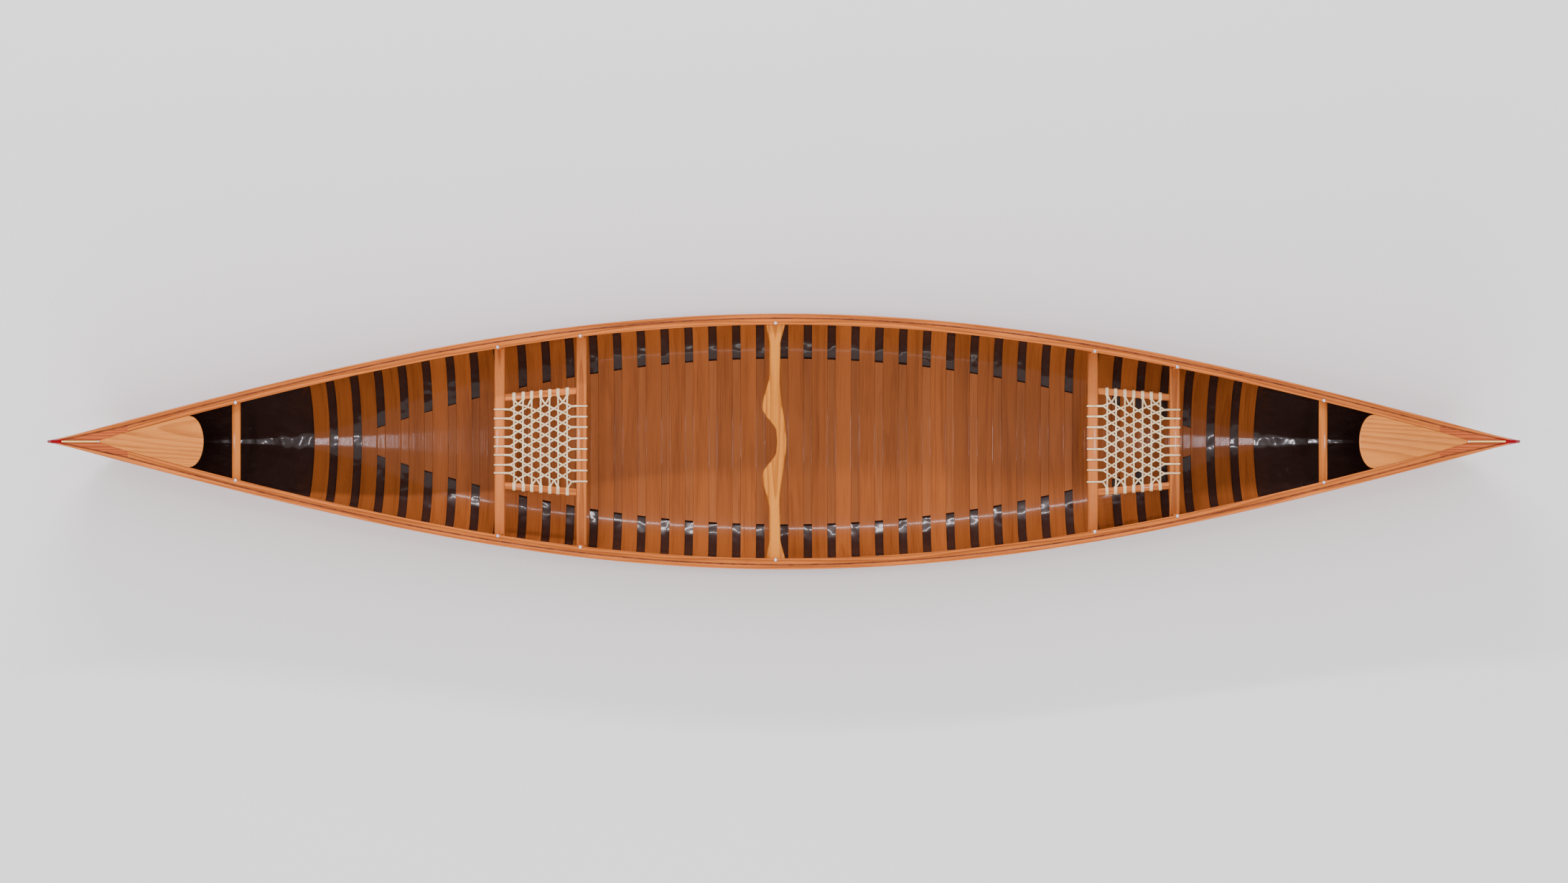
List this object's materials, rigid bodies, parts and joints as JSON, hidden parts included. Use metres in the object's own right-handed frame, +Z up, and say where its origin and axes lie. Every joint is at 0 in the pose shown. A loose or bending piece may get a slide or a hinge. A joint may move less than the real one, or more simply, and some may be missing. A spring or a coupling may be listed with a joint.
{
  "type": "canoe",
  "caption": "Open double-ended canoe: moulded red hull with wooden ribs and half-ribs, wooden gunwales, decks, thwarts and carved carrying yoke, and hung seats with laced webs.",
  "frame": {"origin": "under the middle of the keel, on the surface the canoe stands on", "axes": "+X towards the bow, +Y to port, +Z up"},
  "size_m": [4.877, 0.847, 0.481],
  "materials": {
    "gelcoat": "deep glossy red gel coat outside, black resin inside",
    "rib_wood": "varnished reddish-brown cedar",
    "floor_wood": "varnished brown cedar",
    "gunwale_wood": "oiled orange-tan hardwood",
    "cheek_wood": "oiled reddish hardwood",
    "deck_wood": "varnished golden hardwood",
    "light_wood": "varnished pale ash",
    "thwart_wood": "varnished golden ash",
    "yoke_wood": "varnished golden ash",
    "seat_wood": "varnished ash",
    "lacing": "varnished cream rawhide lacing",
    "steel": "bright stainless steel"
  },
  "bodies": {
    "root": {"bow_deck": "deck_wood", "bow_deck_spline": "light_wood", "bow_port_cheek": "cheek_wood", "bow_seat_bolts": "steel", "bow_seat_inner_bar": "seat_wood", "bow_seat_lacing": "lacing", "bow_seat_nuts": "steel", "bow_seat_outer_bar": "seat_wood", "bow_seat_port_rail": "seat_wood", "bow_seat_spacers": "seat_wood", "bow_seat_starboard_rail": "seat_wood", "bow_starboard_cheek": "cheek_wood", "bow_thwart": "thwart_wood", "bow_thwart_bolts": "steel", "bow_thwart_nuts": "steel", "carrying_yoke": "yoke_wood", "deck_screws": "steel", "full_ribs_bow": "rib_wood", "full_ribs_bow_end": "rib_wood", "full_ribs_middle": "rib_wood", "full_ribs_stern": "rib_wood", "full_ribs_stern_end": "rib_wood", "half_ribs_bow": "floor_wood", "half_ribs_bow_end": "floor_wood", "half_ribs_middle": "floor_wood", "half_ribs_stern": "floor_wood", "half_ribs_stern_end": "floor_wood", "hull_shell": "gelcoat", "port_inwale": "gunwale_wood", "port_outwale": "gunwale_wood", "port_outwale_screws": "steel", "starboard_inwale": "gunwale_wood", "starboard_outwale": "gunwale_wood", "starboard_outwale_screws": "steel", "stern_deck": "deck_wood", "stern_deck_spline": "light_wood", "stern_port_cheek": "cheek_wood", "stern_seat_bolts": "steel", "stern_seat_inner_bar": "seat_wood", "stern_seat_lacing": "lacing", "stern_seat_nuts": "steel", "stern_seat_outer_bar": "seat_wood", "stern_seat_port_rail": "seat_wood", "stern_seat_spacers": "seat_wood", "stern_seat_starboard_rail": "seat_wood", "stern_starboard_cheek": "cheek_wood", "stern_thwart": "thwart_wood", "stern_thwart_bolts": "steel", "stern_thwart_nuts": "steel", "yoke_bolts": "steel", "yoke_nuts": "steel"}
  },
  "joints": []
}
